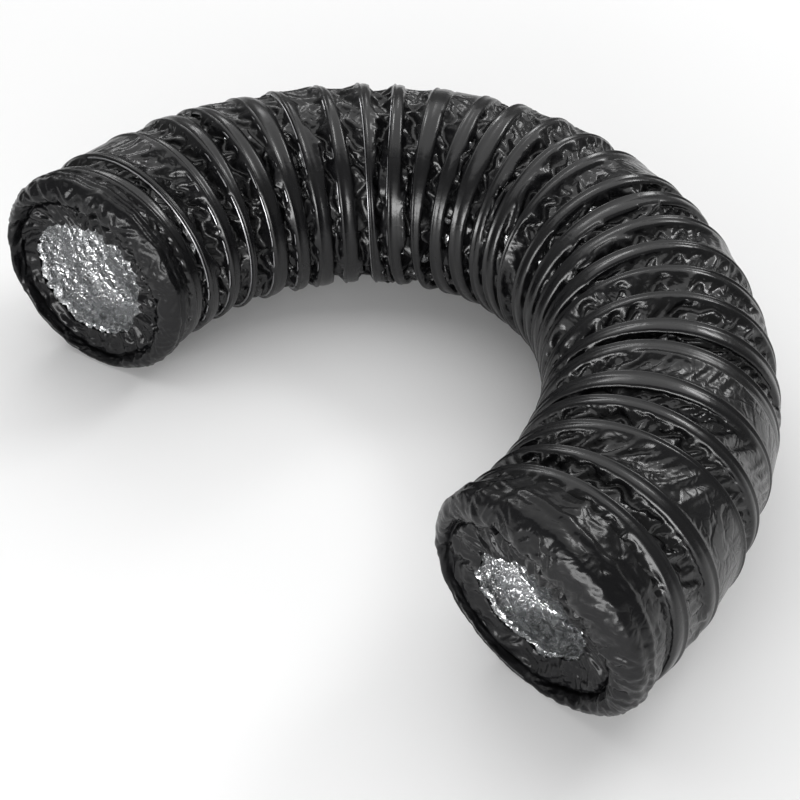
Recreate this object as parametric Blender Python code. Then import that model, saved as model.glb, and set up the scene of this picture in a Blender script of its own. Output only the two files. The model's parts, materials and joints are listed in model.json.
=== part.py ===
"""Plain flexible air duct: a ribbed film tube that lies on its side in a wide C.

A spring wire helix runs between a black outer film jacket and an aluminium foil liner, and the film
is turned in at both mouths. The tube is built as a row of short segments, two turns of wire each,
so that it can bend, lift and stretch between them. Metres, +Z up, the floor at z = 0.
"""

from math import cos, pi, radians, sin

import bmesh
import bpy
import numpy as np
from mathutils import Matrix, Vector

# The tube's section, from the inside out
BORE_RADIUS = 0.075
LINER_WALL = 0.0005
WIRE_DIAMETER = 0.0016
WIRE_CLEARANCE = 0.0008
JACKET_WALL = 0.0006
RIB_HEIGHT = 0.0011
SIDES = 20

# The run of the tube
TURN_PITCH = 0.0285
TURNS_PER_SEGMENT = 2
SEGMENTS = 15
PIECE_GAP = 0.0003
START_HEADING = radians(65.7)
# Bend radius of the centreline at even stations from the left mouth to the right mouth
BEND_RADII = (0.257, 0.234, 0.176, 0.257, 0.307, 0.348)
BEND_SIDE = -1

# The turned-in film at each mouth
CUFF_DEPTH = 0.008
CUFF_WALL = 0.0015
CUFF_OPENING_RADIUS = 0.050
CUFF_FACE_WIDTH = 0.010
CUFF_ROLL = 0.005
CUFF_ROLL_STEPS = 4
CUFF_DISH = 0.006

LINER_OUTER = BORE_RADIUS + LINER_WALL
WIRE_RADIUS = LINER_OUTER + WIRE_CLEARANCE + WIRE_DIAMETER / 2
JACKET_INNER = WIRE_RADIUS + WIRE_DIAMETER / 2 + WIRE_CLEARANCE
JACKET_OUTER = JACKET_INNER + JACKET_WALL
RIB_OUTER = JACKET_OUTER + RIB_HEIGHT
FLAT_SHARE = cos(pi / SIDES)
AXIS_HEIGHT = RIB_OUTER * FLAT_SHARE

SEGMENT_LENGTH = TURNS_PER_SEGMENT * TURN_PITCH
TUBE_LENGTH = SEGMENTS * SEGMENT_LENGTH + 2 * CUFF_DEPTH
ROOT_SEGMENT = (SEGMENTS + 1) // 2
INNER_SIDE = pi if BEND_SIDE < 0 else 0.0


def trace_centreline(steps=4000):
    """Length, plan position and heading along the centreline, by adding up small turns."""
    lengths = np.linspace(0, TUBE_LENGTH, steps + 1)
    middles = (lengths[1:] + lengths[:-1]) / 2
    stations = np.linspace(0, TUBE_LENGTH, len(BEND_RADII))
    step = TUBE_LENGTH / steps
    turns = BEND_SIDE * step / np.interp(middles, stations, BEND_RADII)
    headings = START_HEADING + np.concatenate([[0], np.cumsum(turns)])
    middle_headings = (headings[1:] + headings[:-1]) / 2
    xs = np.concatenate([[0], np.cumsum(np.cos(middle_headings) * step)])
    ys = np.concatenate([[0], np.cumsum(np.sin(middle_headings) * step)])
    return lengths, xs, ys, headings


LENGTHS, XS, YS, HEADINGS = trace_centreline()


def frame_at(length):
    """Centre point, tangent and outward side of the bend at a length along the tube."""
    heading = np.interp(length, LENGTHS, HEADINGS)
    centre = Vector((np.interp(length, LENGTHS, XS), np.interp(length, LENGTHS, YS), AXIS_HEIGHT))
    tangent = Vector((cos(heading), sin(heading), 0))
    side = Vector((-sin(heading), cos(heading), 0))
    return centre, tangent, side


def tube_point(length, radius, angle):
    """A point of the section: angle 0 is on the outside of the bend, and a quarter turn is the top."""
    centre, _, side = frame_at(length)
    return centre + side * (radius * cos(angle)) + Vector((0, 0, radius * sin(angle)))


def corner_angle(index):
    return 2 * pi * (index + 0.5) / SIDES


def new_material(name, colour, roughness, metallic):
    material = bpy.data.materials.new(name)
    material.use_nodes = True
    shader = material.node_tree.nodes["Principled BSDF"]
    shader.inputs["Base Color"].default_value = (*colour, 1)
    shader.inputs["Roughness"].default_value = roughness
    shader.inputs["Metallic"].default_value = metallic
    return material


def new_collection(name):
    collection = bpy.data.collections.new(name)
    bpy.context.scene.collection.children.link(collection)
    return collection


def add_object(name, data, material, pivot, collection):
    """Links an object whose data is in world space, and hangs it on its segment's pivot."""
    data.transform(Matrix.Translation(-pivot["at"]))
    data.materials.append(material)
    piece = bpy.data.objects.new(name, data)
    piece.parent = pivot["empty"]
    collection.objects.link(piece)
    return piece


def swept_mesh(name, rows):
    """A closed tube wall: one circle, extruded from row to row, and its last row joined to its first."""
    shell = bmesh.new()
    bmesh.ops.create_circle(shell, segments=SIDES, radius=1)
    shell.verts.ensure_lookup_table()
    loop_verts = list(shell.verts)
    first_edges = list(shell.edges)
    edges = first_edges
    for index, (length, radius) in enumerate(rows):
        if index:
            made = bmesh.ops.extrude_edge_only(shell, edges=edges)["geom"]
            edges = [item for item in made if isinstance(item, bmesh.types.BMEdge)]
            edges = [edge for edge in edges if not set(edge.verts) & set(loop_verts)]
            followers = {v: e.other_vert(v) for v in loop_verts for e in v.link_edges
                         if e.other_vert(v) in made}
            loop_verts = [followers[v] for v in loop_verts]
        for corner, vert in enumerate(loop_verts):
            vert.co = tube_point(length, radius, corner_angle(corner))
    bmesh.ops.bridge_loops(shell, edges=edges + first_edges)
    bmesh.ops.recalc_face_normals(shell, faces=shell.faces)
    mesh = bpy.data.meshes.new(name)
    shell.to_mesh(mesh)
    shell.free()
    mesh.shade_smooth()
    mesh.set_sharp_from_angle(angle=radians(40))
    return mesh


def segment_span(number):
    """Where a segment starts and ends along the tube, with half a gap left at each end."""
    start = CUFF_DEPTH + (number - 1) * SEGMENT_LENGTH
    return start + PIECE_GAP / 2, start + SEGMENT_LENGTH - PIECE_GAP / 2


def wall_rows(start, end, outer_radii, inner_radius):
    """Rows out along the outer skin and back along the inner one."""
    lengths = np.linspace(start, end, len(outer_radii))
    outer = list(zip(lengths, outer_radii))
    inner = [(length, inner_radius) for length in lengths[::-1]]
    return outer + inner


def jacket_mesh(name, number):
    """Outer film: it stands out over each turn of wire and lies lower between the turns."""
    start, end = segment_span(number)
    radii = [JACKET_OUTER, RIB_OUTER] * TURNS_PER_SEGMENT + [JACKET_OUTER]
    return swept_mesh(name, wall_rows(start, end, radii, JACKET_INNER))


def liner_mesh(name, number):
    """Foil that carries the air: a plain wall, bent with its segment."""
    start, end = segment_span(number)
    return swept_mesh(name, wall_rows(start, end, [LINER_OUTER] * 3, BORE_RADIUS))


def wire_curve(name, number):
    """Two turns of the spring wire, cut where it passes the inside of the bend."""
    start, end = segment_span(number)
    start += WIRE_DIAMETER / 2
    end -= WIRE_DIAMETER / 2
    turn_angle = 2 * pi * TURNS_PER_SEGMENT
    end_inset = PIECE_GAP / WIRE_RADIUS
    steps = SIDES * TURNS_PER_SEGMENT
    angles = [end_inset] + [corner_angle(step) for step in range(steps)] + [turn_angle - end_inset]
    curve = bpy.data.curves.new(name, "CURVE")
    curve.dimensions = "3D"
    curve.bevel_depth = WIRE_DIAMETER / 2
    curve.bevel_resolution = 0
    curve.use_fill_caps = True
    spline = curve.splines.new("POLY")
    spline.points.add(len(angles) - 1)
    for point, angle in zip(spline.points, angles):
        length = start + (end - start) * angle / turn_angle
        at_flat = angle in (angles[0], angles[-1])
        radius = WIRE_RADIUS * (FLAT_SHARE if at_flat else 1)
        point.co = (*tube_point(length, radius, INNER_SIDE + angle), 1)
    return curve


def cuff_front():
    """Section of the turned-in film's front, as depth behind the mouth and radius, lip to opening."""
    roll_centre = RIB_OUTER - CUFF_ROLL
    roll = [(CUFF_ROLL * (1 - cos(angle)), roll_centre + CUFF_ROLL * sin(angle))
            for angle in np.linspace(pi / 2, 0, CUFF_ROLL_STEPS)]
    face_inner = roll_centre - CUFF_FACE_WIDTH
    face = [(0, face_inner), (CUFF_DISH, CUFF_OPENING_RADIUS)]
    return [(CUFF_DEPTH - PIECE_GAP, RIB_OUTER)] + roll + face


def behind(profile, wall):
    """The same section line moved by the wall's thickness, to the side that lies behind it."""
    points = np.array(profile)
    runs = np.diff(points, axis=0)
    normals = np.column_stack([-runs[:, 1], runs[:, 0]]) / np.linalg.norm(runs, axis=1)[:, None]
    before = np.vstack([normals[:1], normals])
    after = np.vstack([normals, normals[-1:]])
    offsets = (before + after) / (1 + (before * after).sum(axis=1))[:, None]
    return [tuple(point) for point in points + offsets * wall]


def cuff_mesh(name, at_left):
    """The film turned in at a mouth: a rolled lip, a flat face and a dished inner skirt."""
    front = cuff_front()
    rows = front + behind(front, CUFF_WALL)[::-1]
    lengths = [depth if at_left else TUBE_LENGTH - depth for depth, _ in rows]
    return swept_mesh(name, [(length, radius) for length, (_, radius) in zip(lengths, rows)])


def fold_point(number):
    """The centre of the tube between a segment and the next one."""
    return frame_at(CUFF_DEPTH + number * SEGMENT_LENGTH)[0]


def pivot_point(number):
    """A segment turns or slides about its end that faces the middle of the duct."""
    if number == ROOT_SEGMENT:
        return frame_at(TUBE_LENGTH / 2)[0]
    return fold_point(number) if number < ROOT_SEGMENT else fold_point(number - 1)


def add_pivots(collection):
    """One empty a segment, each hung on its neighbour towards the middle segment."""
    pivots = {}
    for number in sorted(range(1, SEGMENTS + 1), key=lambda n: abs(n - ROOT_SEGMENT)):
        empty = bpy.data.objects.new(f"segment_{number:02d}_pivot", None)
        collection.objects.link(empty)
        at = pivot_point(number)
        empty.location = at
        if number != ROOT_SEGMENT:
            inner = pivots[number + 1 if number < ROOT_SEGMENT else number - 1]
            empty.parent = inner["empty"]
            empty.location = at - inner["at"]
        pivots[number] = {"empty": empty, "at": at}
    return pivots


def centre_on_floor(pivots, parts):
    """Moves the whole duct so that the middle of its outline stands over the origin."""
    bpy.context.view_layer.update()
    corners = np.array([piece.matrix_world @ vert.co for piece in parts.objects
                        if piece.type == "MESH" for vert in piece.data.vertices])
    middle = (corners.min(axis=0) + corners.max(axis=0)) / 2
    pivots[ROOT_SEGMENT]["empty"].location -= Vector((middle[0], middle[1], 0))


def main():
    for old in list(bpy.data.objects):
        bpy.data.objects.remove(old)
    parts = new_collection("flexible_air_duct")
    black_film = new_material("black_film", (0.012, 0.012, 0.013), 0.28, 0)
    turned_film = new_material("turned_film", (0.010, 0.010, 0.011), 0.34, 0)
    foil = new_material("foil", (0.62, 0.62, 0.63), 0.30, 1)
    spring_steel = new_material("spring_steel", (0.45, 0.42, 0.38), 0.35, 1)
    pivots = add_pivots(parts)
    for number in range(1, SEGMENTS + 1):
        pieces = (
            ("jacket", jacket_mesh, black_film),
            ("liner", liner_mesh, foil),
            ("wire", wire_curve, spring_steel),
        )
        for kind, make, material in pieces:
            name = f"{kind}_{number:02d}"
            add_object(name, make(name, number), material, pivots[number], parts)
    add_object("cuff_left", cuff_mesh("cuff_left", True), turned_film, pivots[1], parts)
    add_object("cuff_right", cuff_mesh("cuff_right", False), turned_film, pivots[SEGMENTS], parts)
    centre_on_floor(pivots, parts)


main()
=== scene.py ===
# %% [markdown]
# # A flexible air duct in black film
# The real duct is three continuous things wound together: a spring wire helix, a black glossy film
# jacket over it and a crinkled aluminium foil liner inside it. At both mouths the film is rolled over
# the last turn of wire and turned in. Everything here hangs on the frame, which already knows where
# the tube runs and how its fifteen segments move. This script makes the thin films that cover it.

# %% Load the frame
import json
from math import cos, pi, radians, sin

import bmesh
import bpy
import numpy as np
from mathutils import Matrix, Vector


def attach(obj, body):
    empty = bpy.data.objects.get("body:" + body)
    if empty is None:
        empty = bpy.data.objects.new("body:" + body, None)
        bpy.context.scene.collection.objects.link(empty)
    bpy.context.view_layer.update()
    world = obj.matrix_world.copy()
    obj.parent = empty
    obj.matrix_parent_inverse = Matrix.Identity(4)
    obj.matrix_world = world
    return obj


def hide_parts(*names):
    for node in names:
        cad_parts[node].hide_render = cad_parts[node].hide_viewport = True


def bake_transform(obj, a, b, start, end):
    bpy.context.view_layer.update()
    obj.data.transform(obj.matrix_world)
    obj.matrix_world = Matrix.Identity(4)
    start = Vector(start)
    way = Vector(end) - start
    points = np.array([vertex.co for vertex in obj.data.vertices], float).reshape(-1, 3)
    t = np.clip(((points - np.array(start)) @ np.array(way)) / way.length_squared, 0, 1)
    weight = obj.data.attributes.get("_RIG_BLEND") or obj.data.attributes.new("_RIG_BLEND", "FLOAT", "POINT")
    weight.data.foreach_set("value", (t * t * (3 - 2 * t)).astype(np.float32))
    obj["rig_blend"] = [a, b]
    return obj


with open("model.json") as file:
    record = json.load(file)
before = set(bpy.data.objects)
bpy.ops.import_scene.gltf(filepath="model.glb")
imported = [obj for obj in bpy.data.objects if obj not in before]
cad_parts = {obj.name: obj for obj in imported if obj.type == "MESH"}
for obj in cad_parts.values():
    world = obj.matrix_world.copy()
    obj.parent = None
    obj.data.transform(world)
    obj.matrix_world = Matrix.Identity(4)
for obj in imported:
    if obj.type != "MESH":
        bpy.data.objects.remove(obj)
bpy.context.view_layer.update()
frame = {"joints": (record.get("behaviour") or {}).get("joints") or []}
joints = {joint["name"]: joint for joint in frame["joints"]}

# %% [markdown]
# ## The run of the tube
# A bent tube is easiest to think of along its centreline. These are the sizes that the frame was
# built from: the wire's pitch, the number of turns, and the bend radius at even stations from the
# left mouth to the right one. A point of the tube is then a length along it, a radius and an angle,
# where angle 0 is the outside of the bend and a quarter turn is the top.

# %% Sizes of the duct, in metres
TURN_PITCH = 0.0285
TURNS = 30
TURNS_PER_SEGMENT = 2
SEGMENTS = 15
CUFF_DEPTH = 0.008
START_HEADING = radians(65.7)
BEND_RADII = (0.257, 0.234, 0.176, 0.257, 0.307, 0.348)
RIB_RADIUS = 0.0803
FILM_WIDTH = 0.037
TUBE_LENGTH = TURNS * TURN_PITCH + 2 * CUFF_DEPTH
AXIS_HEIGHT = joints["bend_01_02"]["pos_m"][2]


def trace_centreline(steps=4000):
    """Length, plan position and heading along the centreline, by adding up small turns."""
    lengths = np.linspace(0, TUBE_LENGTH, steps + 1)
    middles = (lengths[1:] + lengths[:-1]) / 2
    step = TUBE_LENGTH / steps
    turns = -step / np.interp(middles, np.linspace(0, TUBE_LENGTH, len(BEND_RADII)), BEND_RADII)
    headings = START_HEADING + np.concatenate([[0], np.cumsum(turns)])
    ahead = (headings[1:] + headings[:-1]) / 2
    xs = np.concatenate([[0], np.cumsum(np.cos(ahead) * step)])
    ys = np.concatenate([[0], np.cumsum(np.sin(ahead) * step)])
    return lengths, xs, ys, headings


LENGTHS, XS, YS, HEADINGS = trace_centreline()


def fold_length(number):
    """Where a segment ends and the next one starts."""
    return CUFF_DEPTH + number * TURNS_PER_SEGMENT * TURN_PITCH


def plan_at(length):
    inside = np.clip(length, 0, TUBE_LENGTH)
    beyond = length - inside
    heading = np.interp(inside, LENGTHS, HEADINGS)
    x = np.interp(inside, LENGTHS, XS) + beyond * np.cos(heading)
    y = np.interp(inside, LENGTHS, YS) + beyond * np.sin(heading)
    return x, y, heading


# %% Line the run up with the frame's joints
first_fold = np.array(joints["bend_01_02"]["pos_m"])
SHIFT_X = first_fold[0] - plan_at(fold_length(1))[0]
SHIFT_Y = first_fold[1] - plan_at(fold_length(1))[1]


def tube_points(length, radius, angle):
    """Points of the tube in space, for arrays of length, radius and angle."""
    x, y, heading = plan_at(length)
    reach = radius * np.cos(angle)
    return np.stack([x + SHIFT_X - np.sin(heading) * reach, y + SHIFT_Y + np.cos(heading) * reach,
                     AXIS_HEIGHT + radius * np.sin(angle)], axis=-1)


def centre_of(length):
    return Vector(tube_points(np.array(length), 0.0, 0.0))


def tangent_at(length):
    heading = float(plan_at(np.array(length))[2])
    return Vector((cos(heading), sin(heading), 0))


for name, joint in joints.items():
    if joint["type"] == "hinge":
        number = int(name.split("_")[1])
        off = (centre_of(fold_length(number)) - Vector(joint["pos_m"])).length
        print(f"{name}: centreline passes {off * 1000:.2f} mm from the joint")

# %% [markdown]
# ## Creases
# Thin film never lies smooth: it buckles into small flat facets with sharp folds between them.
# Smooth noise looks like rubber, so the creases here are triangular waves laid in many directions,
# with their coordinates bent a little by slower waves. Where the waves cross, they make facets.

# %% Crease pattern


def crease_field(across, along, seed, size, layers=5):
    """Heights from -1 to 1 of a crumpled sheet, for coordinates in metres and a facet size."""
    chance = np.random.default_rng(seed)
    total = np.zeros_like(across)
    weight = 0.0
    for layer in range(layers):
        scale = size * 0.75 ** layer
        direction = chance.uniform(0, pi)
        phases = chance.uniform(0, 2 * pi, 4)
        bend = chance.uniform(0.6, 1.4)
        warp_a = np.sin(across / scale * 0.9 * bend + phases[0]) * np.cos(along / scale * 0.7 + phases[1])
        warp_b = np.cos(along / scale * 1.1 * bend + phases[2]) * np.sin(across / scale * 0.6 + phases[3])
        run = (across * cos(direction) + along * sin(direction)) / scale + 0.8 * warp_a + 0.5 * warp_b
        wave = 2 * np.abs(run - np.floor(run) - 0.5)
        share = 0.8 ** layer
        total += share * (2 * wave - 1)
        weight += share
    return total / weight


# %% [markdown]
# ## How film takes its shape
# Each strip of film keeps the width that it has when the duct is pulled straight, and the wire
# holds both of its edges. Where the bend brings the turns of wire closer together, the strip has
# more width than room, and it folds. That is a cloth simulation, and on a strip whose points form
# a regular grid it can be done for all points at once: every point moves on, then neighbours that
# are too near or too far apart are pushed back to their distance, over and over.

# %% Film simulation on a grid


def grid_links(rows, columns, row_step, column_step, wrap):
    """Pairs of grid slices to hold apart: (first, second, distance, firmness). wrap joins the last
    column to the first one, that many rows on."""
    column_step = np.broadcast_to(column_step, (rows, 1))
    everything = slice(None)
    links = []
    for odd in (0, 1):
        links.append(((slice(odd, rows - 1, 2), everything), (slice(odd + 1, rows, 2), everything),
                      row_step[odd::2], 0.9))
        links.append(((everything, slice(odd, columns - 1, 2)), (everything, slice(odd + 1, columns, 2)),
                      column_step, 0.9))
    links.append(((slice(0, rows - wrap), slice(columns - 1, columns)),
                  (slice(wrap, rows), slice(0, 1)), column_step[:rows - wrap], 0.9))
    slant = np.sqrt(row_step ** 2 + column_step[:-1] ** 2)
    for odd in (0, 1):
        for side in (0, 1):
            near, far = slice(odd, rows - 1, 2), slice(odd + 1, rows, 2)
            left, right = slice(side, columns - 1, 2), slice(side + 1, columns, 2)
            reach = slant[odd::2, left]
            links.append(((near, left), (far, right), reach, 0.8))
            links.append(((far, left), (near, right), reach, 0.8))
    return links


def stiffening_links(rows, columns, row_step, column_step, firmness):
    """Links between every second point, which resist bending."""
    everything = slice(None)
    double = row_step[:-1] + row_step[1:]
    links = []
    for start in range(4):
        count = len(range(start + 2, rows, 4))
        links.append(((slice(start, start + 4 * count - 3, 4), everything),
                      (slice(start + 2, start + 4 * count - 1, 4), everything),
                      double[start::4][:count], firmness))
        count = len(range(start + 2, columns, 4))
        links.append(((everything, slice(start, start + 4 * count - 3, 4)),
                      (everything, slice(start + 2, start + 4 * count - 1, 4)),
                      2 * column_step, firmness))
    return links


def hold_apart(points, free, first, second, distance, firmness):
    a, b = points[first], points[second]
    free_a, free_b = free[first], free[second]
    gap = b - a
    length = np.sqrt((gap * gap).sum(axis=-1)) + 1e-9
    both = free_a + free_b
    pull = np.where(both > 0, firmness * (length - distance) / (length * np.maximum(both, 1e-9)), 0)
    gap *= pull[..., None]
    points[first] = a + gap * free_a[..., None]
    points[second] = b - gap * free_b[..., None]


def settle_film(points, free, links, rounds, home=None, homing=0.0, axis=None, suction=0.0):
    """Lets the film take its shape. home draws it back to a form, suction draws it to the axis."""
    points = points.astype(np.float32)
    free = free.astype(np.float32)
    before = points.copy()
    for count in range(rounds):
        drift = (points - before) * 0.85
        before = points.copy()
        points += drift * free[..., None]
        if home is not None:
            points += (home - points) * (homing * free)[..., None]
        if axis is not None and count < rounds * 0.6:
            inward = axis - points
            inward /= np.linalg.norm(inward, axis=-1, keepdims=True) + 1e-9
            points += inward * (free * suction)[..., None]
        for first, second, distance, firmness in links:
            hold_apart(points, free, first, second, distance, firmness)
    return points


# %% [markdown]
# ## The strip of jacket film
# The film is wound with the wire, so its grid is wound too: going once round the tube moves it on
# by one turn. The rows of each turn start at the wire with a smooth glued band, where the film lies
# double over the wire, and the rest of the turn is single film that hangs in towards the axis.

# %% Where the wire lies


def wander(turn):
    """How far a turn of wire has strayed along the tube: no two turns of a used duct lie alike."""
    stray = (0.0019 * np.sin(2.31 * turn + 0.4) + 0.0017 * np.sin(4.87 * turn + 2.0)
             + 0.0011 * np.sin(9.1 * turn + 1.1))
    return stray * np.clip(turn - 0.5, 0, 1) * np.clip(TURNS - 0.5 - turn, 0, 1)


def rib_length(turn):
    """Length along the tube at which the wire passes, after that many turns."""
    return CUFF_DEPTH + turn * TURN_PITCH + wander(turn)


# %% Jacket strip
FINE = 1.0
COLUMNS = 4 * round(72 * FINE)
BAND_ROWS = 6
TURN_ROWS = 2 * round(10 * FINE)
BEAD_WIDTH = 0.0030
SAG_SHARE = 0.34
STRIP_ROWS = TURN_ROWS * (TURNS + 2)


def band_width(turn):
    """The smooth glued film beside the wire is wide in one place and narrow in the next."""
    share = 0.5 + 0.28 * np.sin(5.3 * turn + 1.7) + 0.22 * np.sin(8.9 * turn + 0.6)
    return BEAD_WIDTH + 0.0010 + 0.0130 * share


def strip_layout():
    """Length, angle, place in the turn and room between turns, for every point of the wound grid."""
    row, column = np.meshgrid(np.arange(STRIP_ROWS + 1), np.arange(COLUMNS), indexing="ij")
    angle = pi + 2 * pi * column / COLUMNS
    in_turn = row % TURN_ROWS
    turn = row // TURN_ROWS - 1 + column / COLUMNS
    start, end = rib_length(turn), rib_length(turn + 1)
    bend = 1 / np.interp(start, np.linspace(0, TUBE_LENGTH, len(BEND_RADII)), BEND_RADII)
    room = (end - start) * (1 + RIB_RADIUS * bend * np.cos(angle))
    band = np.minimum(band_width(turn), 0.62 * room)
    bead = np.minimum(BEAD_WIDTH, 0.6 * band)
    over_band = np.interp(in_turn, (0, 1, 2, 3), (0, 0.42, 0.80, 1.0)) * bead
    over_band = np.where(in_turn > 3, bead + (in_turn - 3) / (BAND_ROWS - 3) * (band - bead), over_band)
    loose = np.clip((in_turn - BAND_ROWS) / (TURN_ROWS - BAND_ROWS), 0, 1)
    across = np.where(in_turn <= BAND_ROWS, over_band, band + loose * (room - band))
    return {"length": start + across / room * (end - start), "angle": angle, "in_turn": in_turn,
            "loose": loose, "room": room, "band": band, "turn": turn}


strip = strip_layout()
on_band = strip["in_turn"] <= BAND_ROWS
BEAD_DEPTHS = (0.0013, 0.0001, 0.0002, 0.0012)
beyond_bead = np.clip((strip["in_turn"] - 3) / (BAND_ROWS - 3), 0, 1)
depth = np.interp(strip["in_turn"], range(4), BEAD_DEPTHS)
depth += (0.0007 * beyond_bead - 0.0009 * np.sin(pi * beyond_bead)) * strip["band"] / 0.012
depth += 0.0004 * (1 + np.sin(7.7 * strip["turn"] + 0.9)) * (1 - strip["loose"])
depth += 0.0004 * (1 + np.sin(7.7 * (strip["turn"] + 1) + 0.9)) * strip["loose"]
calm = np.clip(np.minimum(strip["turn"] - 0.3, TURNS - 1.3 - strip["turn"]), 0, 1)
film_width = 1.12 * strip["room"] + calm * (FILM_WIDTH - 1.12 * strip["room"])
slack_half = np.maximum(film_width - strip["band"], 0) / 2
room_half = (strip["room"] - strip["band"]) / 2
hang = SAG_SHARE * np.sqrt(np.maximum(slack_half ** 2 - room_half ** 2, 1e-7))
around = strip["angle"] * RIB_RADIUS
between = np.sin(pi * strip["loose"])
long_folds = crease_field(around * 0.5, strip["length"], 11, 0.019, layers=3)
short_folds = crease_field(around, strip["length"], 12, 0.011, layers=2)
patches = np.clip(0.5 + 1.6 * crease_field(around * 0.5, strip["length"], 13, 0.030, layers=2), 0, 1)
swells = crease_field(around * 0.3, strip["length"] * 0.5, 14, 0.050, layers=2)
puffed = np.clip(0.70 + 0.9 * swells, 0.05, 1.2)
depth += np.where(on_band, 0, hang * puffed * between ** 0.8 * (0.80 + 0.30 * long_folds))
lively = 0.0004 + 0.0026 * patches
depth += np.where(on_band, 0, (lively * long_folds + 0.0013 * patches * short_folds) * between ** 0.5)
jacket_points = tube_points(strip["length"], RIB_RADIUS - depth, strip["angle"])
print("jacket strip:", jacket_points.shape[:2], "points, wound", TURNS, "turns")

# %% Settle the jacket
JACKET_STIFFNESS = 0.32
JACKET_ROUNDS = 110
JACKET_SUCTION = 0.00001
row_index = np.arange(STRIP_ROWS + 1)[:, None]
jacket_free = (~on_band & (row_index > 0) & (row_index < STRIP_ROWS)).astype(float)
row_step = np.where(strip["in_turn"][:-1] < BAND_ROWS, strip["band"][:-1] / BAND_ROWS,
                    (film_width - strip["band"])[:-1] / (TURN_ROWS - BAND_ROWS))
column_step = 2 * pi * (RIB_RADIUS + 0.0004) / COLUMNS
links = grid_links(STRIP_ROWS + 1, COLUMNS, row_step, column_step, TURN_ROWS)
links += stiffening_links(STRIP_ROWS + 1, COLUMNS, row_step, column_step, JACKET_STIFFNESS)
tube_axis = tube_points(strip["length"], 0.0, strip["angle"]).astype(np.float32)
jacket_points = settle_film(jacket_points, jacket_free, links, JACKET_ROUNDS,
                            axis=tube_axis, suction=JACKET_SUCTION)
print("jacket settled, thinnest at", float(np.linalg.norm(jacket_points - tube_axis, axis=-1).min()))

# %% [markdown]
# ## From a wound grid to pieces that bend
# The frame moves in fifteen segments, and a film piece can bend between two of them. So the jacket
# is cut across at the middle of each segment, and each piece runs from one middle to the next. A cut
# is clean only if both sides of it keep the same points and the same normals, so the normals are
# stored before cutting, and the cutter splits the faces exactly on the plane.

# %% Fold a grid into a tube


def tube_mesh(name, points, length, slack, wrap):
    """A grid folded into a tube: column after column round, with the last one joined to the first,
    wrap rows on. It keeps each point's length along the tube and how slack the film is there."""
    rows, columns = points.shape[:2]
    shell = bmesh.new()
    bmesh.ops.create_grid(shell, x_segments=columns, y_segments=rows - 1, size=0.5)
    shell.verts.ensure_lookup_table()
    corners = np.array([vert.co[:2] for vert in shell.verts])
    column = np.rint((corners[:, 0] + 0.5) * columns).astype(int)
    row = np.rint((corners[:, 1] + 0.5) * (rows - 1)).astype(int)
    over = column == columns
    source_row = np.minimum(row + wrap * over, rows - 1)
    source_column = np.where(over, 0, column)
    place = points[source_row, source_column]
    run = length[source_row, source_column]
    looseness = slack[source_row, source_column]
    along = shell.verts.layers.float.new("along")
    slackness = shell.verts.layers.float.new("slack")
    stray = []
    past_end = over & (row + wrap > rows - 1)
    for vert, co, at, loose, past in zip(shell.verts, place, run, looseness, past_end):
        vert.co = co
        vert[along] = at
        vert[slackness] = loose
        if past:
            stray.append(vert)
    bmesh.ops.delete(shell, geom=stray, context="VERTS")
    bmesh.ops.remove_doubles(shell, verts=shell.verts, dist=1e-7)
    mesh = bpy.data.meshes.new(name)
    shell.to_mesh(mesh)
    shell.free()
    return mesh


# %% Keep the normals and the places of the uncut film


def store_normals(mesh):
    normals = np.empty(len(mesh.vertices) * 3, np.float32)
    mesh.vertex_normals.foreach_get("vector", normals)
    mesh.attributes.new("smooth_normal", "FLOAT_VECTOR", "POINT").data.foreach_set("vector", normals)
    places = np.empty(len(mesh.vertices) * 3, np.float32)
    mesh.vertices.foreach_get("co", places)
    mesh.attributes.new("rest_place", "FLOAT_VECTOR", "POINT").data.foreach_set("vector", places)


# %% Cut the film across
CUT_REACH = 0.022


def segment_middle(number):
    return fold_length(number) - TURNS_PER_SEGMENT * TURN_PITCH / 2


def cut_across(mesh, cuts):
    """Splits the mesh at each cut and gives each face the number of cuts before it."""
    shell = bmesh.new()
    shell.from_mesh(mesh)
    along = shell.verts.layers.float["along"]
    near = {length: [] for length in cuts}
    for face in shell.faces:
        at = face.verts[0][along]
        closest = min(cuts, key=lambda length: abs(at - length))
        if abs(at - closest) < CUT_REACH:
            near[closest].append(face)
    for length, faces in near.items():
        edges = {edge for face in faces for edge in face.edges}
        verts = {vert for face in faces for vert in face.verts}
        bmesh.ops.bisect_plane(shell, geom=faces + list(edges) + list(verts), dist=1e-7,
                               plane_co=centre_of(length), plane_no=tangent_at(length))
    shell.to_mesh(mesh)
    shell.free()
    count = len(mesh.polygons)
    centres = np.empty(count * 3, np.float32)
    mesh.polygons.foreach_get("center", centres)
    centres = centres.reshape(-1, 3)
    starts = np.empty(count, np.int32)
    mesh.polygons.foreach_get("loop_start", starts)
    corners = np.empty(len(mesh.loops), np.int32)
    mesh.loops.foreach_get("vertex_index", corners)
    at = vertex_values(mesh, "along")[corners[starts]]
    passed = np.zeros(count, np.int32)
    for length in cuts:
        beyond = (centres - np.array(centre_of(length))) @ np.array(tangent_at(length)) > 0
        passed += np.where(np.abs(at - length) < CUT_REACH, beyond, at > length)
    mesh.polygons.foreach_set("material_index", passed)
    mesh.polygons.foreach_set("use_smooth", np.ones(count, bool))


def vertex_values(mesh, name):
    values = np.empty(len(mesh.vertices), np.float32)
    mesh.attributes[name].data.foreach_get("value", values)
    return values


# %% One object for each stretch


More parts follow.
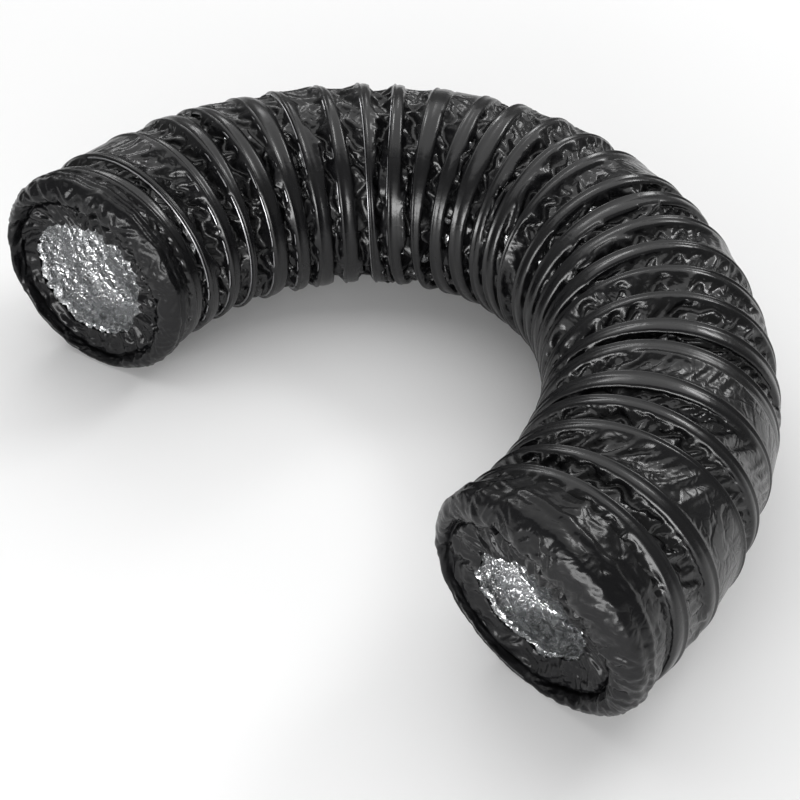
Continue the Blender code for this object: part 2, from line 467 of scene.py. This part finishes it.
def separate_pieces(name, mesh, cuts):
    """One object for each stretch between two cuts, with the normals of the uncut film. What lies
    before the first cut and past the last one is dropped."""
    markers = [bpy.data.materials.new(f"stretch {number:02d}") for number in range(len(cuts) + 1)]
    for marker in markers:
        mesh.materials.append(marker)
    whole = bpy.data.objects.new(name, mesh)
    bpy.context.scene.collection.objects.link(whole)
    for item in list(bpy.context.selected_objects):
        item.select_set(False)
    bpy.context.view_layer.objects.active = whole
    whole.select_set(True)
    bpy.ops.mesh.separate(type="MATERIAL")
    made = {item.data.materials[0].name: item for item in bpy.context.selected_objects}
    for scrap in (markers[0].name, markers[-1].name):
        if scrap in made:
            bpy.data.objects.remove(made.pop(scrap))
    kept = [made[stretch] for stretch in sorted(made)]
    for number, piece in enumerate(kept, 1):
        piece.name = piece.data.name = f"{name}_{number:02d}"
        piece.data.materials.clear()
        use_stored_normals(piece.data)
        piece.select_set(False)
    for marker in markers:
        bpy.data.materials.remove(marker)
    return kept


def use_stored_normals(mesh):
    normals = np.empty(len(mesh.vertices) * 3, np.float32)
    mesh.attributes["smooth_normal"].data.foreach_get("vector", normals)
    normals = normals.reshape(-1, 3)
    normals /= np.linalg.norm(normals, axis=1, keepdims=True) + 1e-12
    mesh.normals_split_custom_set_from_vertices(normals)
    mesh.attributes.remove(mesh.attributes["smooth_normal"])


# %% Jacket pieces
CUTS = [segment_middle(number) for number in range(2, SEGMENTS)]
FILM_START = 0.021
FILM_CUTS = [FILM_START, *CUTS, TUBE_LENGTH - FILM_START]
film_slack = np.where(on_band, 0.0, 1.0)
jacket_mesh = tube_mesh("jacket", jacket_points, strip["length"], film_slack, TURN_ROWS)
store_normals(jacket_mesh)
cut_across(jacket_mesh, FILM_CUTS)
jacket_pieces = separate_pieces("jacket_film", jacket_mesh, FILM_CUTS)
print("jacket:", len(jacket_pieces), "pieces,", sum(len(p.data.polygons) for p in jacket_pieces), "faces")

# %% Bend a piece between two segments
# A blend may be written from either of its two bodies. The folds in this list are written from the
# far one: with every joint at its lower limit, the other way round is badly rounded and they tear.
FROM_FAR_SIDE = (3, 13)


def bend_between(piece, number):
    """The piece follows segment number up to its middle and the next segment past that one's middle."""
    start, end = segment_middle(number), segment_middle(number + 1)
    near, far = centre_of(start), centre_of(end)
    turn = tangent_at(start).angle(tangent_at(end))
    inset = (far - near).normalized() * (RIB_RADIUS * sin(turn / 2) * 1.05)
    bodies, points = [f"segment_{number:02d}", f"segment_{number + 1:02d}"], [near + inset, far - inset]
    if number in FROM_FAR_SIDE:
        bodies, points = bodies[::-1], points[::-1]
    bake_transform(piece, bodies[0], bodies[1], start=points[0], end=points[1])


def fit_pieces(pieces, node_kind):
    """Each piece bends over its own fold and stands for the CAD segment that it starts in."""
    for number, piece in enumerate(pieces, 1):
        bend_between(piece, number)
        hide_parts(f"{node_kind}_{number:02d}")
    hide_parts(f"{node_kind}_{SEGMENTS:02d}")


fit_pieces(jacket_pieces, "jacket")

# %% [markdown]
# ## The foil liner
# The liner follows the jacket from inside, a little nearer the axis, and it is crumpled much finer:
# foil keeps every crease it ever had. It lies under the wire, so it never stands out past it.

# %% Liner
LINER_GAP = 0.0030
LINER_OUTERMOST = 0.0755


def smallest_nearby(values, reach):
    """Each value's lowest neighbour within some rows and columns, so that the foil clears the film."""
    lowest = values.copy()
    for step in range(1, reach + 1):
        lowest = np.minimum(lowest, np.roll(values, step, axis=1))
        lowest = np.minimum(lowest, np.roll(values, -step, axis=1))
    spread = lowest.copy()
    for step in range(1, reach + 1):
        spread[step:] = np.minimum(spread[step:], lowest[:-step])
        spread[:-step] = np.minimum(spread[:-step], lowest[step:])
    return spread


jacket_radius = np.linalg.norm(jacket_points - tube_axis, axis=-1)
liner_radius = np.minimum(smallest_nearby(jacket_radius, 2) - LINER_GAP, LINER_OUTERMOST)
foil_creases = crease_field(around, strip["length"], 23, 0.0075, layers=6)
liner_radius -= 0.0013 * (1 + foil_creases)
liner_points = tube_points(strip["length"], liner_radius, strip["angle"])
liner_mesh = tube_mesh("liner", liner_points, strip["length"], film_slack, TURN_ROWS)
LINER_START = 0.031
LINER_CUTS = [LINER_START, *CUTS, TUBE_LENGTH - LINER_START]
store_normals(liner_mesh)
cut_across(liner_mesh, LINER_CUTS)
liner_pieces = separate_pieces("liner_foil", liner_mesh, LINER_CUTS)
fit_pieces(liner_pieces, "liner")
print("liner:", len(liner_pieces), "pieces")

# %% [markdown]
# ## The spring wire
# One wire runs through the whole duct. It is a curve wound round the centreline with a round bevel,
# made a mesh and cut at the same planes as the film, so that it springs open as the duct bends.

# %% Wire
WIRE_RADIUS = 0.0771
WIRE_THICKNESS = 0.0016
WIRE_POINTS = 44


def wind_wire():
    turns = np.arange(TURNS * WIRE_POINTS + 1) / WIRE_POINTS
    lengths = rib_length(turns)
    places = tube_points(lengths, WIRE_RADIUS, pi + 2 * pi * turns)
    curve = bpy.data.curves.new("wire", "CURVE")
    curve.dimensions = "3D"
    curve.bevel_depth = WIRE_THICKNESS / 2
    curve.bevel_resolution = 2
    curve.use_fill_caps = False
    spline = curve.splines.new("POLY")
    spline.points.add(len(turns) - 1)
    for point, place in zip(spline.points, places):
        point.co = (*place, 1)
    helper = bpy.data.objects.new("wire", curve)
    bpy.context.scene.collection.objects.link(helper)
    mesh = bpy.data.meshes.new_from_object(helper.evaluated_get(bpy.context.evaluated_depsgraph_get()))
    bpy.data.objects.remove(helper)
    sides = len(mesh.vertices) // len(turns)
    along = np.repeat(lengths, sides).astype(np.float32)
    mesh.attributes.new("along", "FLOAT", "POINT").data.foreach_set("value", along)
    return mesh


wire_mesh = wind_wire()
WIRE_START = 0.007
WIRE_CUTS = [WIRE_START, *CUTS, TUBE_LENGTH - WIRE_START]
store_normals(wire_mesh)
cut_across(wire_mesh, WIRE_CUTS)
wire_pieces = separate_pieces("spring_wire", wire_mesh, WIRE_CUTS)
fit_pieces(wire_pieces, "wire")
print("wire:", len(wire_pieces), "pieces")

# %% [markdown]
# ## Finishes
# The film is thin black plastic: nearly no colour of its own, and all that the eye sees is the room
# mirrored in its folds. Real folds carry the big highlights, so they are in the mesh. The finest
# crinkles, a millimetre or two across, are left to a bump. Both read where each point was at rest,
# kept on the mesh as an attribute, so the pattern stays on the film when the duct bends.

# %% Material helpers


def new_material(name):
    material = bpy.data.materials.new(name)
    material.use_nodes = True
    return material, material.node_tree, material.node_tree.nodes["Principled BSDF"]


def add_node(tree, kind, inputs=None, **settings):
    """A node with its settings, and its inputs given as numbers or as other nodes' outputs."""
    node = tree.nodes.new(kind)
    for key, value in settings.items():
        setattr(node, key, value)
    for key, value in (inputs or {}).items():
        if isinstance(value, bpy.types.NodeSocket):
            tree.links.new(value, node.inputs[key])
        else:
            node.inputs[key].default_value = value
    return node


def crease_lines(tree, place, warp_scale, warp, layers):
    """A height that is level in the middle of each cell and drops at the borders, which noise bends.
    Each layer is (cell scale, width of the drop, share)."""
    noise = add_node(tree, "ShaderNodeTexNoise", {"Vector": place, "Scale": warp_scale, "Detail": 2.0})
    centred = add_node(tree, "ShaderNodeVectorMath", {0: noise.outputs["Color"], 1: (0.5, 0.5, 0.5)},
                       operation="SUBTRACT")
    moved = add_node(tree, "ShaderNodeVectorMath", {0: centred.outputs[0], "Scale": warp}, operation="SCALE")
    bent = add_node(tree, "ShaderNodeVectorMath", {0: place, 1: moved.outputs[0]}, operation="ADD")
    total = None
    for scale, width, share in layers:
        cells = add_node(tree, "ShaderNodeTexVoronoi", {"Vector": bent.outputs[0], "Scale": scale},
                         feature="DISTANCE_TO_EDGE")
        part = add_node(tree, "ShaderNodeMapRange", {"Value": cells.outputs["Distance"], "From Max": width,
                                                     "To Max": share}, interpolation_type="SMOOTHSTEP")
        total = part.outputs[0] if total is None else add_node(
            tree, "ShaderNodeMath", {0: part.outputs[0], 1: total}, operation="ADD").outputs[0]
    return total


def varied(tree, place, scale, low, high):
    """A number that drifts between low and high over the surface."""
    noise = add_node(tree, "ShaderNodeTexNoise", {"Vector": place, "Scale": scale, "Detail": 3.0})
    spread = add_node(tree, "ShaderNodeMapRange", {"Value": noise.outputs["Fac"], "From Min": 0.3,
                                                   "From Max": 0.7, "To Min": low, "To Max": high})
    return spread.outputs["Result"]


# %% Black film


def black_film(name, colour, roughness, fine, crinkle, gloss):
    material, tree, shader = new_material(name)
    place = add_node(tree, "ShaderNodeAttribute", attribute_name="rest_place").outputs["Vector"]
    slack = add_node(tree, "ShaderNodeAttribute", attribute_name="slack").outputs["Fac"]
    height = crease_lines(tree, place, 45.0, 0.022, ((55.0, 0.16, 1.0), (120.0, 0.20, 0.4)))
    ease = add_node(tree, "ShaderNodeMapRange", {"Value": slack, "To Min": fine, "To Max": crinkle})
    bump = add_node(tree, "ShaderNodeBump", {"Height": height, "Strength": ease.outputs["Result"],
                                             "Distance": 0.0012})
    tree.links.new(bump.outputs["Normal"], shader.inputs["Normal"])
    tree.links.new(varied(tree, place, 30.0, *roughness), shader.inputs["Roughness"])
    shader.inputs["Base Color"].default_value = (*colour, 1)
    shader.inputs["IOR"].default_value = 1.5
    shader.inputs["Specular IOR Level"].default_value = gloss
    return material


FILM = black_film("black film", (0.0045, 0.0045, 0.0050), (0.19, 0.33), 0.04, 0.28, 0.5)
# The turned film is the jacket's own black film with its gloss cut from 0.5 to 0.27. That is painted shade:
# it dims what the faces and lips of the mouths mirror. Its bump and roughness differ a little as well.
TURNED_FILM_PAINTED_SHADE = black_film("turned film", (0.0045, 0.0045, 0.0050), (0.18, 0.32), 0.08, 0.25, 0.27)

# %% [markdown]
# ## Foil
# The liner is aluminium on plastic film: a metal with sharp creases that throw small bright flashes
# next to near-black ones, so it has stronger and finer facets than the jacket.

# %% Foil and steel


def crumpled_foil():
    material, tree, shader = new_material("foil")
    place = add_node(tree, "ShaderNodeAttribute", attribute_name="rest_place").outputs["Vector"]
    height = crease_lines(tree, place, 110.0, 0.010, ((95.0, 0.45, 1.0), (210.0, 0.45, 0.5)))
    bump = add_node(tree, "ShaderNodeBump", {"Height": height, "Strength": 0.8, "Distance": 0.004})
    tree.links.new(bump.outputs["Normal"], shader.inputs["Normal"])
    tree.links.new(varied(tree, place, 80.0, 0.16, 0.34), shader.inputs["Roughness"])
    shader.inputs["Metallic"].default_value = 0.75
    shader.inputs["Base Color"].default_value = (0.90, 0.91, 0.92, 1)
    return material


def drawn_steel():
    material, tree, shader = new_material("spring steel")
    place = add_node(tree, "ShaderNodeAttribute", attribute_name="rest_place").outputs["Vector"]
    tree.links.new(varied(tree, place, 400.0, 0.25, 0.45), shader.inputs["Roughness"])
    shader.inputs["Metallic"].default_value = 1.0
    shader.inputs["Base Color"].default_value = (0.42, 0.42, 0.43, 1)
    return material


FOIL = crumpled_foil()
STEEL = drawn_steel()


def finish_pieces(pieces, material):
    for piece in pieces:
        piece.data.materials.clear()
        piece.data.materials.append(material)


finish_pieces(jacket_pieces, FILM)
finish_pieces(liner_pieces, FOIL)
finish_pieces(wire_pieces, STEEL)
print("finishes:", FILM.name, FOIL.name, STEEL.name)

# %% [markdown]
# ## The turned-in film at the mouths
# At each mouth the jacket is pulled over the last turn of wire and tucked inside. It makes a puffed
# lip, a deep crease where it turns in, and a flat edge round an opening that is nowhere round: an
# oval pushed off the middle, with a ragged edge, needs five numbers and a little crumpling. The
# film keeps the girth of the whole tube, so the smaller the ring it lies on, the more it must pleat.
# The same film simulation as for the jacket makes those pleats, from a section turned round the mouth.

# %% Shape of the two mouths
# Each ring is a circle's radius, how far it is pushed off the middle and towards which angle, how
# much it is drawn out to an oval and along which angle, and how ragged it is.
MOUTHS = {
    "left": {
        "segment": 1,
        "recess": (0.006, 0.005, 0.0),
        "opening": (0.050, 0.010, 309, 0.005, 148, 0.005),
        "crease": (0.066, 0.009, 311, 0.0, 0, 0.003),
    },
    "right": {
        "segment": SEGMENTS,
        "recess": (0.005, 0.0, -0.011),
        "opening": (0.043, 0.013, 237, 0.004, 60, 0.006),
        "crease": (0.063, 0.013, 233, 0.0, 0, 0.003),
    },
}


def ring_values(side, ring, angle):
    """The radius of a mouth's opening or crease at each angle round it."""
    radius, push, towards, oval, along, ragged = MOUTHS[side][ring]
    seed = 61 if side == "left" else 67
    rough = crease_field(np.cos(angle) * radius, np.sin(angle) * radius, seed, 0.012, layers=3)
    return (radius + push * np.cos(angle - radians(towards))
            + oval * np.cos(2 * (angle - radians(along))) + ragged * rough)


def mouth_points(side, depth, radius, angle):
    """Points of a mouth, for depths behind its front, radii and angles."""
    length = depth if side == "left" else TUBE_LENGTH - depth
    return tube_points(length, radius, angle)


def front_of(side, angle):
    """How far the lip's front lies behind the end of the tube, all round."""
    level, sideways, upward = MOUTHS[side]["recess"]
    return level + sideways * np.cos(angle) + upward * np.sin(angle)


# %% Section of a mouth
CUFF_ROWS = 52
CUFF_COLUMNS = 4 * round(72 * FINE)
CUFF_BACK = 0.034
LIP_RADIUS = 0.0815
LIP_BACK = ((CUFF_BACK, 0.0768), (0.030, 0.0779), (0.0245, 0.0790), (0.0210, 0.0796), (0.0193, 0.0812),
            (0.0175, 0.0814), (0.0157, 0.0799), (0.0105, 0.0807))
LIP_FRONT = ((0.0075, 0.97), (0.0032, 0.80), (0.0006, 0.55), (0.0000, 0.38), (0.0014, 0.18), (0.0060, 0.04))
CREASE_BOTTOM = 0.0100
CREASE_LIMIT = 0.076
FLAP_WIDTH = 0.004
EDGE_DEPTH = 0.0095


def mouth_section(side, angle):
    """Depth and radius along the section, for every angle: back of the lip, front, crease and edge."""
    front = front_of(side, angle)
    opening = ring_values(side, "opening", angle)
    crease = np.clip(ring_values(side, "crease", angle), opening + FLAP_WIDTH, CREASE_LIMIT)
    rows = [(depth + front * (CUFF_BACK - depth) / CUFF_BACK, np.full_like(angle, radius))
            for depth, radius in LIP_BACK]
    rows += [(front + depth, crease + (LIP_RADIUS - crease) * share) for depth, share in LIP_FRONT]
    rows.append((front + CREASE_BOTTOM, crease))
    rows.append((front + CREASE_BOTTOM - 0.004, crease - 0.0018))
    rows.append((front + EDGE_DEPTH - 0.002, (crease + opening) / 2))
    rows.append((front + EDGE_DEPTH, opening))
    depths, radii = np.array([row[0] for row in rows]), np.array([row[1] for row in rows])
    runs = np.cumsum(np.hypot(np.diff(depths, axis=0), np.diff(radii, axis=0)), axis=0)
    runs = np.vstack([np.zeros_like(angle), runs])
    even = np.linspace(0, 1, CUFF_ROWS + 1)
    depth, radius = np.empty((CUFF_ROWS + 1, len(angle))), np.empty((CUFF_ROWS + 1, len(angle)))
    for column in range(len(angle)):
        share = runs[:, column] / runs[-1, column]
        depth[:, column] = np.interp(even, share, depths[:, column])
        radius[:, column] = np.interp(even, share, radii[:, column])
    return depth, radius, runs[-1]


# %% Settle the turned-in film
PLEAT_SHARE = 0.10
TUCKS = 13
CUFF_STIFFNESS = 0.30
CUFF_ROUNDS = 40
CUFF_HOMING = 0.05


def tucks(side, angle, row):
    """Narrow folds that cross the lip at a slant, where the film was gathered in."""
    chance = np.random.default_rng(51 if side == "left" else 53)
    total = 0
    for place, slant, height in zip(chance.uniform(0, 2 * pi, TUCKS), chance.uniform(-0.5, 0.5, TUCKS),
                                    chance.uniform(-0.0010, 0.0022, TUCKS)):
        off = (angle - place - slant * row + pi) % (2 * pi) - pi
        total = total + height * np.exp(-np.abs(off) / 0.030)
    return total


def make_cuff(side):
    angle = 2 * pi * np.arange(CUFF_COLUMNS) / CUFF_COLUMNS
    depth, radius, developed = mouth_section(side, angle)
    turned = np.broadcast_to(angle, depth.shape)
    row = np.arange(CUFF_ROWS + 1)[:, None] / CUFF_ROWS
    seed = 31 if side == "left" else 37
    facets = crease_field(turned * 0.080, row * 0.055, seed, 0.024, layers=3)
    pleats = crease_field(turned * 0.080, row * 0.022, seed + 1, 0.0095, layers=3)
    turned_in = np.clip((row - 0.45) / 0.35, 0, 1)
    growth = 0.30 + 0.70 * turned_in
    depth = depth + growth * 0.0042 * facets + 0.0018 * turned_in * pleats
    radius = radius + growth * 0.0022 * facets + 0.0008 * turned_in * pleats
    radius = radius - tucks(side, angle, row) * (1 - turned_in)
    points = mouth_points(side, depth, radius, turned)
    free = np.broadcast_to(row > 0.06, depth.shape).astype(float)
    home = points.astype(np.float32)
    row_step = np.linalg.norm(np.diff(points, axis=0), axis=-1)
    mean_radius = radius.mean(axis=1, keepdims=True)
    girth = mean_radius + PLEAT_SHARE * np.maximum(RIB_RADIUS - mean_radius, 0)
    column_step = 2 * pi * girth / CUFF_COLUMNS
    links = grid_links(CUFF_ROWS + 1, CUFF_COLUMNS, row_step, column_step, 0)
    links += stiffening_links(CUFF_ROWS + 1, CUFF_COLUMNS, row_step, column_step, CUFF_STIFFNESS)
    points = settle_film(points, free, links, CUFF_ROUNDS, home=home, homing=CUFF_HOMING)
    mesh = tube_mesh(f"cuff_film_{side}", points, depth, np.broadcast_to(0.3 + 0.7 * row, depth.shape), 0)
    return mesh, developed.mean()


def keep_shape_whole(mesh):
    """Smooth faces, and each point's place at rest for the patterns."""
    store_normals(mesh)
    mesh.attributes.remove(mesh.attributes["smooth_normal"])
    mesh.polygons.foreach_set("use_smooth", np.ones(len(mesh.polygons), bool))


def add_mouth_piece(mesh, side, node, material):
    piece = bpy.data.objects.new(mesh.name, mesh)
    bpy.context.scene.collection.objects.link(piece)
    mesh.materials.append(material)
    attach(piece, f"segment_{MOUTHS[side]['segment']:02d}")
    if node:
        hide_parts(node)
    return piece


for side in MOUTHS:
    cuff, developed = make_cuff(side)
    keep_shape_whole(cuff)
    # The cuffs take the turned film, whose lowered gloss is painted shade.
    piece = add_mouth_piece(cuff, side, f"cuff_{side}", TURNED_FILM_PAINTED_SHADE)
    print(f"cuff {side}: {len(cuff.polygons)} faces, film {developed * 1000:.0f} mm deep")

# %% [markdown]
# ## Foil at the mouths
# The foil liner ends inside the turned film, so it shows right at the edge of the opening as a
# crumpled funnel, torn along one side. It is a tube grid pushed in and out by fine creases.

# %% Foil funnels
FUNNEL_ROWS = 46
FUNNEL_END = 0.042


def make_funnel(side):
    angle = 2 * pi * np.arange(CUFF_COLUMNS) / CUFF_COLUMNS
    opening = ring_values(side, "opening", angle)
    front = front_of(side, angle)
    seed = 41 if side == "left" else 43
    torn = crease_field(angle * 0.05, angle * 0, seed, 0.0035, layers=3)
    rows = ((front + EDGE_DEPTH + 0.0015, opening + 0.0012 + 0.0015 * torn),
            (front + EDGE_DEPTH + 0.006, opening * 0.75 + 0.0185),
            (front * 0.6 + EDGE_DEPTH + 0.014, opening * 0.35 + 0.0475),
            (np.full_like(angle, CUFF_BACK), np.full_like(angle, 0.0735)),
            (np.full_like(angle, FUNNEL_END), np.full_like(angle, 0.0722)))
    depths, radii = np.array([row[0] for row in rows]), np.array([row[1] for row in rows])
    stations = np.linspace(0, len(rows) - 1, FUNNEL_ROWS + 1)
    low = np.minimum(stations.astype(int), len(rows) - 2)
    share = (stations - low)[:, None]
    depth = depths[low] * (1 - share) + depths[low + 1] * share
    radius = radii[low] * (1 - share) + radii[low + 1] * share
    turned = np.broadcast_to(angle, depth.shape)
    crumple = crease_field(turned * 0.070, depth, seed + 1, 0.0070, layers=6)
    coarse = crease_field(turned * 0.060, depth, seed + 2, 0.0150, layers=2)
    push = np.clip((np.arange(FUNNEL_ROWS + 1)[:, None] + 3) / 12, 0, 1)
    radius = radius - push * (0.0021 * (1 + crumple) + 0.0016 * (1 + coarse))
    depth = depth + push * 0.0010 * crumple
    points = mouth_points(side, depth, radius, turned)
    developed = np.hypot(np.diff(depths, axis=0), np.diff(radii, axis=0)).sum(axis=0).mean()
    return tube_mesh(f"mouth_foil_{side}", points, depth, np.ones_like(depth), 0), developed


for side in MOUTHS:
    funnel, developed = make_funnel(side)
    keep_shape_whole(funnel)
    piece = add_mouth_piece(funnel, side, None, FOIL)
    print(f"mouth foil {side}: {len(funnel.polygons)} faces")

# %% [markdown]
# ## Camera, floor and light
# The duct is seen from the front, at a bit under 45 degrees, through a lens long enough to keep its
# two halves in proportion. It lies on a plain floor. Black gloss has hardly any colour to light up,
# so its form is drawn by what it mirrors: a wide box overhead gives the broad sheen on every rib,
# a low one in front opens the mouths, and two narrow strips behind put thin bright lines on the edges.

# %% Camera
CAMERA_TARGET = Vector((0.0243, 0.0433, 0.0))
CAMERA_ELEVATION = radians(40.4)
CAMERA_AZIMUTH = radians(1.25)
CAMERA_DISTANCE = 1.173
CAMERA_LENS = 69.96
camera_data = bpy.data.cameras.new("camera")
camera_data.lens = CAMERA_LENS
camera_data.sensor_width = 36
camera = bpy.data.objects.new("camera", camera_data)
bpy.context.scene.collection.objects.link(camera)
level = cos(CAMERA_ELEVATION)
away = Vector((sin(CAMERA_AZIMUTH) * level, -cos(CAMERA_AZIMUTH) * level, sin(CAMERA_ELEVATION)))
camera.location = CAMERA_TARGET + away * CAMERA_DISTANCE
camera.rotation_euler = (pi / 2 - CAMERA_ELEVATION, 0, CAMERA_AZIMUTH)
bpy.context.scene.camera = camera
print("camera at", tuple(round(value, 3) for value in camera.location))

# %% Floor
FLOOR_SIDE = 12.0
sheet = bmesh.new()
bmesh.ops.create_grid(sheet, x_segments=1, y_segments=1, size=FLOOR_SIDE / 2)
floor_mesh = bpy.data.meshes.new("floor")
sheet.to_mesh(floor_mesh)
sheet.free()
floor = bpy.data.objects.new("floor", floor_mesh)
bpy.context.scene.collection.objects.link(floor)
FLOOR_PAINT, _, floor_shader = new_material("pale floor")
floor_shader.inputs["Base Color"].default_value = (0.90, 0.90, 0.90, 1)
floor_shader.inputs["Roughness"].default_value = 0.9
floor_mesh.materials.append(FLOOR_PAINT)
print("floor:", FLOOR_SIDE, "m square")

# %% Soft studio light


def soft_box(name, place, aim, size, power):
    light = bpy.data.lights.new(name, "AREA")
    light.shape = "RECTANGLE"
    light.size, light.size_y = size
    light.energy = power
    lamp = bpy.data.objects.new(name, light)
    bpy.context.scene.collection.objects.link(lamp)
    lamp.location = place
    lamp.rotation_euler = (Vector(aim) - Vector(place)).to_track_quat("-Z", "Y").to_euler()


soft_box("overhead box", (0, 1.0, 1.9), (0, 0.6, 0), (4.0, 3.0), 40)
soft_box("low front box", (-0.3, -1.7, 0.38), (0, 0, 0.1), (1.7, 0.55), 34)
soft_box("left box", (-1.3, -1.5, 0.5), (0, 0, 0.1), (0.5, 0.7), 8)
soft_box("back strip", (-0.6, 1.7, 1.45), (0, 0, 0.1), (1.1, 0.30), 7)
soft_box("right strip", (1.3, 0.9, 1.35), (0, 0, 0.1), (0.7, 0.26), 9)
world = bpy.data.worlds.new("studio")
world.use_nodes = True
world.node_tree.nodes["Background"].inputs["Color"].default_value = (1, 1, 1, 1)
world.node_tree.nodes["Background"].inputs["Strength"].default_value = 0.22
bpy.context.scene.world = world
bpy.context.scene.view_settings.view_transform = "Standard"
print("lights:", [light.name for light in bpy.data.lights])
